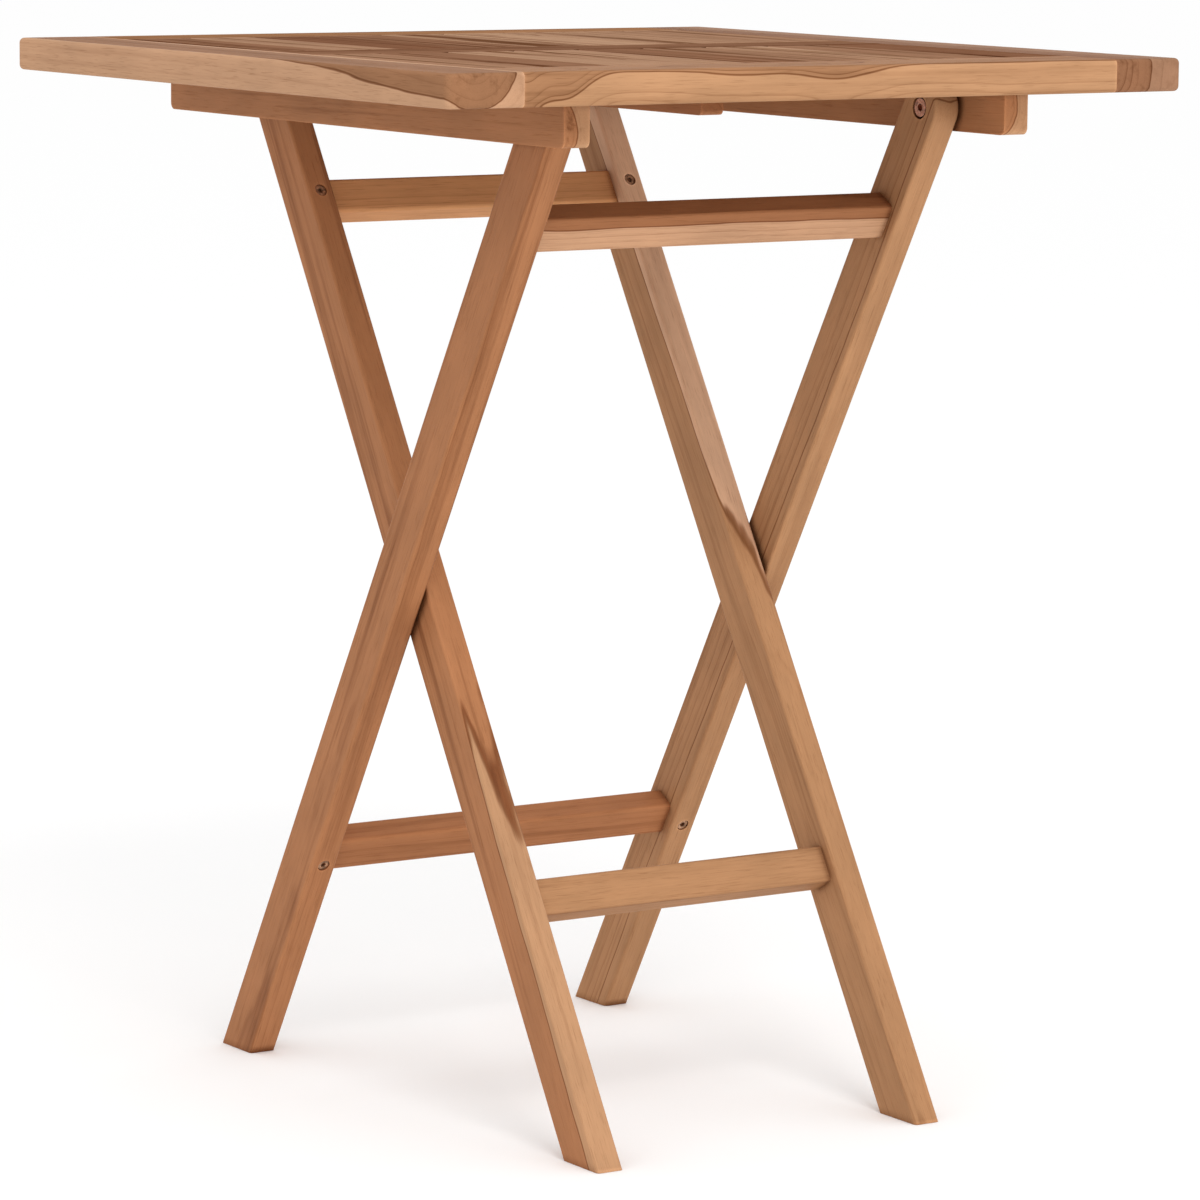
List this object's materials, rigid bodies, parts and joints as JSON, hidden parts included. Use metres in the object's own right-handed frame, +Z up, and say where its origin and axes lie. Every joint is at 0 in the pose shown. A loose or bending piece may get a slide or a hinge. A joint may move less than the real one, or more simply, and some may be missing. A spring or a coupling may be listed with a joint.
{
  "type": "folding picnic table",
  "caption": "Square slatted wooden folding table on a scissor base of two crossed leg frames; the top hinges on one frame and catches on the other.",
  "frame": {"origin": "on the floor, under the centre of the table top", "axes": "+Z up, +X along the front edge from left to right, +Y from the front edge to the back edge"},
  "size_m": [0.6, 0.6, 0.75],
  "materials": {
    "pale_wood": "satin",
    "wood": "satin",
    "dark_wood": "satin",
    "bolt_metal": "satin",
    "steel": "satin",
    "nylon": "matte"
  },
  "bodies": {
    "outer_frame": {"outer_leg_left": "wood", "outer_leg_right": "wood", "outer_rail_upper": "pale_wood", "outer_rail_lower": "pale_wood", "outer_rail_screws": "bolt_metal"},
    "inner_frame": {"inner_leg_left": "wood", "inner_leg_right": "wood", "inner_rail_upper": "dark_wood", "inner_rail_lower": "dark_wood", "inner_rail_screws": "bolt_metal", "catch_bar": "steel", "cross_pins": "steel", "cross_washers": "nylon"},
    "top": {"stile_left": "pale_wood", "stile_right": "wood", "rail_front": "pale_wood", "rail_middle": "dark_wood", "rail_back": "wood", "slat_front_1": "wood", "slat_front_2": "wood", "slat_front_3": "wood", "slat_front_4": "wood", "slat_front_5": "wood", "slat_front_6": "wood", "slat_front_7": "wood", "slat_front_8": "wood", "slat_front_9": "wood", "slat_back_1": "dark_wood", "slat_back_2": "dark_wood", "slat_back_3": "dark_wood", "slat_back_4": "dark_wood", "slat_back_5": "dark_wood", "slat_back_6": "dark_wood", "slat_back_7": "dark_wood", "slat_back_8": "dark_wood", "slat_back_9": "dark_wood", "batten_left": "wood", "batten_right": "wood", "runner_left": "wood", "runner_right": "wood", "batten_screws": "steel", "runner_screws": "steel", "hinge_inserts": "bolt_metal", "hinge_washers": "nylon", "hinge_bolts": "bolt_metal"}
  },
  "joints": [
    {"name": "fold", "type": "hinge", "parent": "outer_frame", "child": "inner_frame", "pos_m": [0, -0.00104, 0.36836], "axis": [1, 0, 0], "range_deg": [0, 53]},
    {"name": "top_fold", "type": "hinge", "parent": "outer_frame", "child": "top", "pos_m": [0, -0.2, 0.714], "axis": [1, 0, 0], "range_deg": [0, 106]}
  ],
  "couplings": [
    {"joint": "top_fold", "follows": "fold", "ratio": 2}
  ]
}
